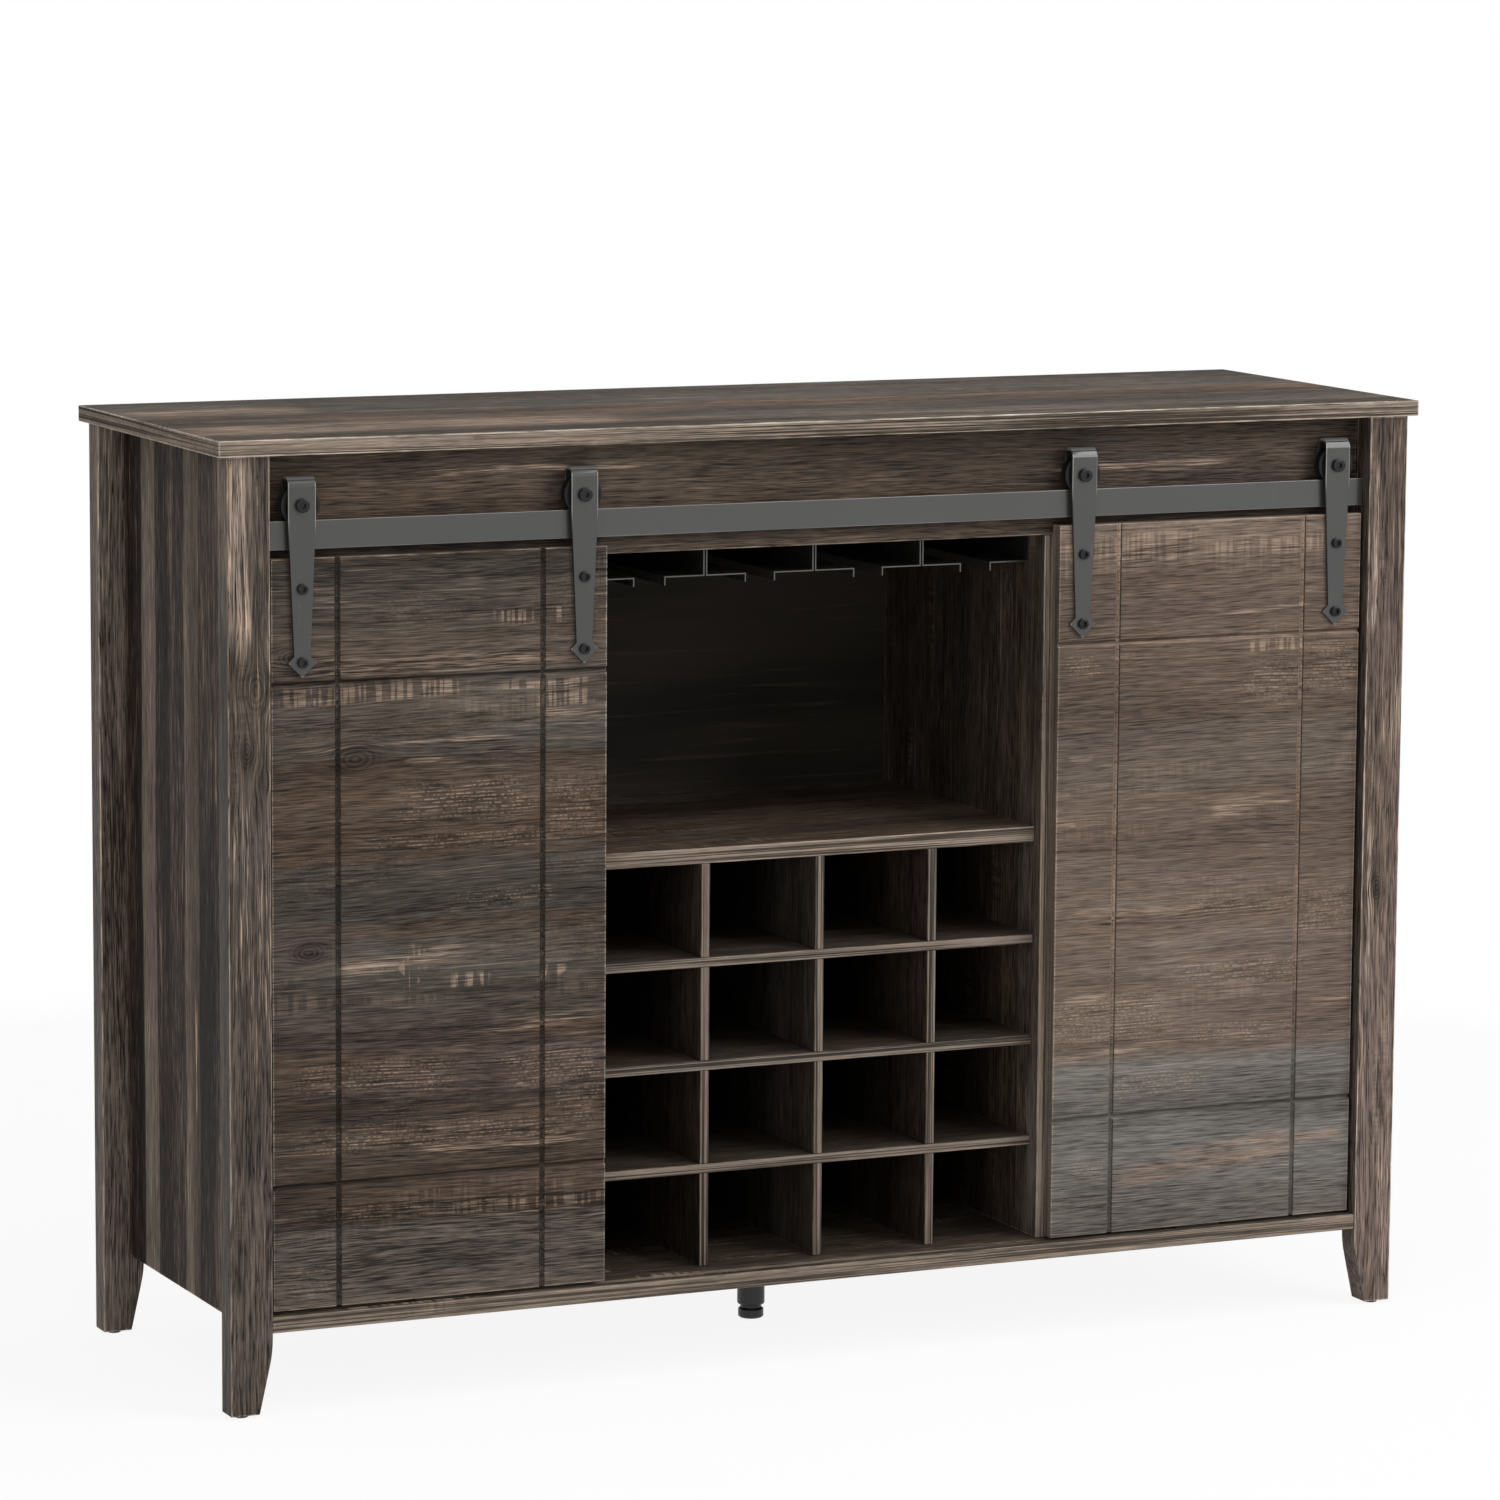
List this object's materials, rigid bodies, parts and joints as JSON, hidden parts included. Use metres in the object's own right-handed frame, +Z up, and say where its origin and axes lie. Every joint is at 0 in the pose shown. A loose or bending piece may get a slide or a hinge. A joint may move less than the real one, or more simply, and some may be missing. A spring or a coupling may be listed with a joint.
{
  "type": "coffee bar cabinet",
  "caption": "Low rustic bar cabinet on tapered posts, with sliding doors on a flat track, a bottle rack, an open shelf and hanging stemware rails.",
  "frame": {"origin": "middle of the footprint on the floor", "axes": "+X along the width, to the right seen from the front; -Y towards the front; +Z up"},
  "size_m": [1.238, 0.395, 0.9],
  "materials": {
    "wood_top": "rustic wood laminate, satin",
    "wood_post": "rustic wood laminate, satin",
    "wood_side": "dark wood laminate, satin",
    "wood_door": "saw-marked grey-brown wood laminate, satin",
    "wood_inner": "dark brown wood laminate, satin",
    "back_board": "dark hardboard, matt",
    "painted_steel": "dark grey paint, satin",
    "black_steel": "black finish, satin",
    "black_plastic": "black, matt"
  },
  "bodies": {
    "root": {"top_board": "wood_top", "bottom_board": "wood_top", "header_rail": "wood_inner", "glass_panel": "wood_inner", "center_shelf": "wood_inner", "track_bar": "painted_steel", "center_leg": "black_plastic", "front_left_post": "wood_post", "front_left_glide": "black_plastic", "front_right_post": "wood_post", "front_right_glide": "black_plastic", "rear_left_post": "wood_post", "rear_left_glide": "black_plastic", "rear_right_post": "wood_post", "rear_right_glide": "black_plastic", "left_side_panel": "wood_side", "left_partition": "wood_inner", "left_side_shelf": "wood_inner", "stem_rail_left": "painted_steel", "right_side_panel": "wood_side", "right_partition": "wood_inner", "right_side_shelf": "wood_inner", "stem_rail_right": "painted_steel", "rack_upright_1": "wood_inner", "rack_shelf_1": "wood_inner", "stem_rail_1": "painted_steel", "rack_upright_2": "wood_inner", "rack_shelf_2": "wood_inner", "stem_rail_2": "painted_steel", "rack_upright_3": "wood_inner", "rack_shelf_3": "wood_inner", "stem_rail_3": "painted_steel", "back_panel_left": "back_board", "back_panel_center": "back_board", "back_panel_right": "back_board"},
    "center_glide_body": {"center_glide": "black_plastic"},
    "left_door": {"left_door_panel": "wood_door", "left_floor_guide": "black_plastic", "left_hanger_outer": "painted_steel", "left_axle_outer": "black_steel", "left_bolt_outer_upper": "black_steel", "left_bolt_outer_lower": "black_steel", "left_hanger_inner": "painted_steel", "left_axle_inner": "black_steel", "left_bolt_inner_upper": "black_steel", "left_bolt_inner_lower": "black_steel"},
    "left_roller_outer_body": {"left_roller_outer": "black_plastic"},
    "left_roller_inner_body": {"left_roller_inner": "black_plastic"},
    "right_door": {"right_door_panel": "wood_door", "right_floor_guide": "black_plastic", "right_hanger_outer": "painted_steel", "right_axle_outer": "black_steel", "right_bolt_outer_upper": "black_steel", "right_bolt_outer_lower": "black_steel", "right_hanger_inner": "painted_steel", "right_axle_inner": "black_steel", "right_bolt_inner_upper": "black_steel", "right_bolt_inner_lower": "black_steel"},
    "right_roller_outer_body": {"right_roller_outer": "black_plastic"},
    "right_roller_inner_body": {"right_roller_inner": "black_plastic"}
  },
  "joints": [
    {"name": "left_door_slide", "type": "slide", "parent": "root", "child": "left_door", "axis": [1, 0, 0], "range_m": [0, 0.234]},
    {"name": "left_roller_outer_spin", "type": "hinge", "parent": "left_door", "child": "left_roller_outer_body", "pos_m": [-0.536, -0.1778, 0.8384], "axis": [0, 1, 0], "range_deg": [-5, 970]},
    {"name": "left_roller_inner_spin", "type": "hinge", "parent": "left_door", "child": "left_roller_inner_body", "pos_m": [-0.259, -0.1778, 0.8384], "axis": [0, 1, 0], "range_deg": [-5, 970]},
    {"name": "right_door_slide", "type": "slide", "parent": "root", "child": "right_door", "axis": [-1, 0, 0], "range_m": [0, 0.234]},
    {"name": "right_roller_outer_spin", "type": "hinge", "parent": "right_door", "child": "right_roller_outer_body", "pos_m": [0.536, -0.1778, 0.8384], "axis": [0, -1, 0], "range_deg": [-5, 970]},
    {"name": "right_roller_inner_spin", "type": "hinge", "parent": "right_door", "child": "right_roller_inner_body", "pos_m": [0.259, -0.1778, 0.8384], "axis": [0, -1, 0], "range_deg": [-5, 970]},
    {"name": "center_glide_screw", "type": "slide", "parent": "root", "child": "center_glide_body", "axis": [0, 0, 1], "range_m": [-0.01, 0.0025]}
  ],
  "couplings": [
    {"joint": "left_roller_outer_spin", "follows": "left_door_slide", "rad_per_m": 71.942},
    {"joint": "left_roller_inner_spin", "follows": "left_door_slide", "rad_per_m": 71.942},
    {"joint": "right_roller_outer_spin", "follows": "right_door_slide", "rad_per_m": 71.942},
    {"joint": "right_roller_inner_spin", "follows": "right_door_slide", "rad_per_m": 71.942}
  ]
}
